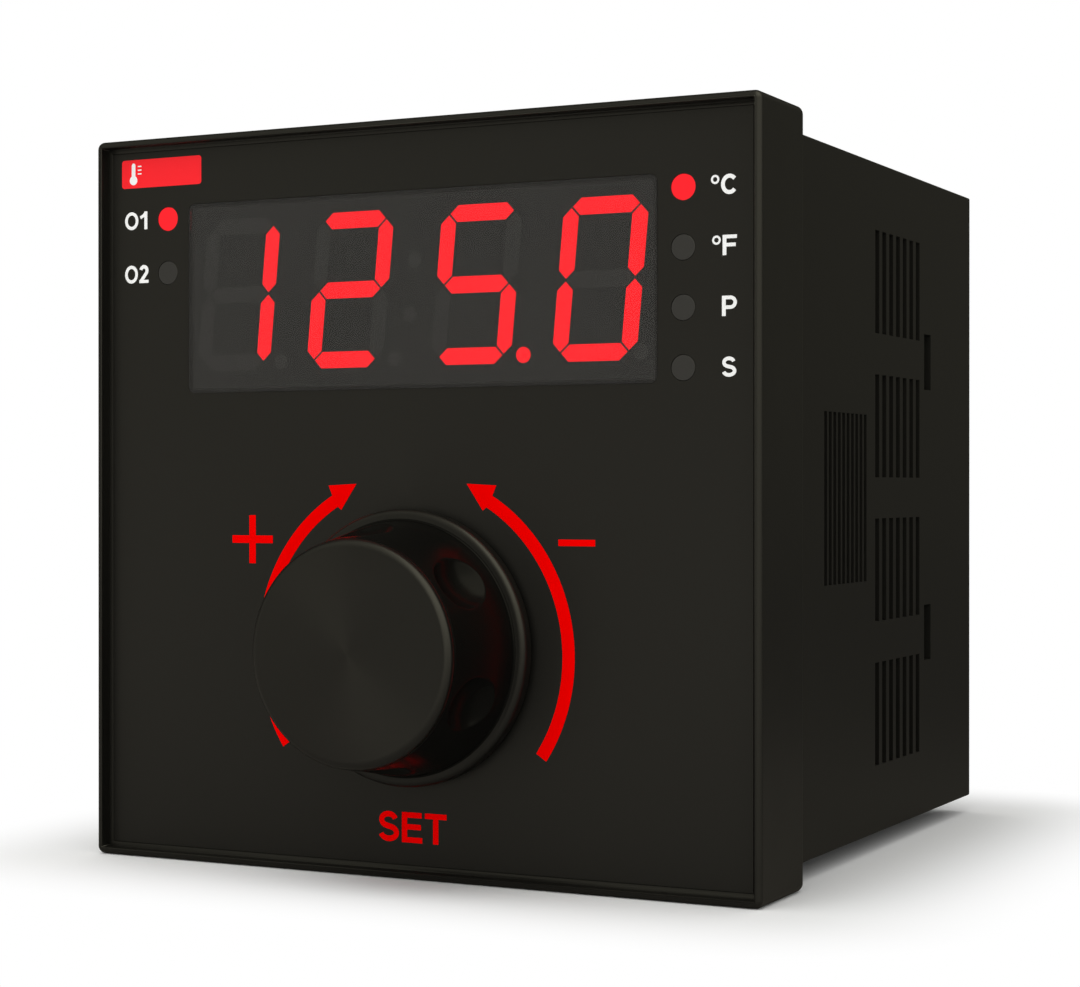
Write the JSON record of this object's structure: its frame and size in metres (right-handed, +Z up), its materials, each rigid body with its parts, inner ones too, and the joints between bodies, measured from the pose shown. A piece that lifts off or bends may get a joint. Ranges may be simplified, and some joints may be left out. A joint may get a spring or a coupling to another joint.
{
  "type": "panel temperature controller",
  "caption": "Square panel-mounted temperature controller with a red segment display, indicator lamps, a turn-and-push knob and a vented case with rear screw terminals.",
  "frame": {"origin": "centre of the panel cut-out, on the panel face that the bezel seats against", "axes": "+Z up, the front faces -Y and the case runs along +Y behind the panel"},
  "size_m": [0.096, 0.1072, 0.096],
  "materials": {
    "bezel_abs": "fine moulded grain",
    "film_print": "satin printed film",
    "smoke_window": "clear smoked film",
    "module_epoxy": "matt",
    "segment_lit": "glowing diffuser",
    "segment_off": "diffuser",
    "lamp_lit": "glowing light pipe",
    "lamp_off": "smoked light pipe",
    "lamp_chip": "chip",
    "knob_abs": "glossy side, spun face",
    "case_abs": "fine moulded grain",
    "rear_abs": "fine moulded grain",
    "steel_turned": "turned",
    "nickel_plate": "plated",
    "zinc_casting": "cast",
    "nylon_black": "moulded",
    "nylon_white": "moulded",
    "contact_bronze": "stamped",
    "circuit_board": "solder mask",
    "chip_epoxy": "moulded",
    "relay_case": "moulded",
    "core_steel": "varnished laminations",
    "coil_tape": "polyester tape",
    "capacitor_sleeve": "shrink sleeve",
    "terminal_nylon": "moulded",
    "screw_zinc": "zinc plated",
    "clamp_brass": "tinned"
  },
  "bodies": {
    "housing": {"front_bezel": "bezel_abs", "front_film": "film_print", "display_window": "smoke_window", "display_module": "module_epoxy", "lit_segments": "segment_lit", "unlit_segments": "segment_off", "led_output_1": "lamp_lit", "led_output_2": "lamp_off", "led_celsius": "lamp_lit", "led_fahrenheit": "lamp_off", "led_program": "lamp_off", "led_set": "lamp_off", "lamp_chips": "lamp_chip", "encoder_bushing": "zinc_casting", "encoder_base": "nylon_black", "switch_contact": "contact_bronze", "encoder_washer": "nickel_plate", "encoder_nut": "nickel_plate", "display_board": "circuit_board", "board_screws": "screw_zinc", "case_sleeve": "case_abs", "rear_cover": "rear_abs", "cover_screws": "screw_zinc", "terminal_block_left": "terminal_nylon", "terminal_block_right": "terminal_nylon", "terminal_clamps": "clamp_brass", "terminal_screws": "screw_zinc", "power_board": "circuit_board", "processor_board": "circuit_board", "header_left": "nylon_black", "header_right": "nylon_black", "transformer_core": "core_steel", "transformer_coil": "coil_tape", "relay_1": "relay_case", "relay_2": "relay_case", "capacitors": "capacitor_sleeve", "microcontroller": "chip_epoxy", "input_converter": "chip_epoxy"},
    "plunger": {"push_plunger": "nylon_white"},
    "knob": {"control_knob": "knob_abs", "encoder_shaft": "steel_turned"},
    "rotor": {"encoder_rotor": "nylon_white"}
  },
  "joints": [
    {"name": "knob_push", "type": "slide", "parent": "housing", "child": "plunger", "axis": [0, 1, 0], "range_m": [0, 0.0005], "stiffness_N_per_m": 6000},
    {"name": "knob_turn", "type": "hinge", "parent": "plunger", "child": "knob", "pos_m": [0, -0.02, -0.0188], "axis": [0, 1, 0], "continuous": true},
    {"name": "rotor_turn", "type": "hinge", "parent": "housing", "child": "rotor", "pos_m": [0, -0.007, -0.0188], "axis": [0, 1, 0], "continuous": true}
  ],
  "couplings": [
    {"joint": "rotor_turn", "follows": "knob_turn", "ratio": 1}
  ]
}
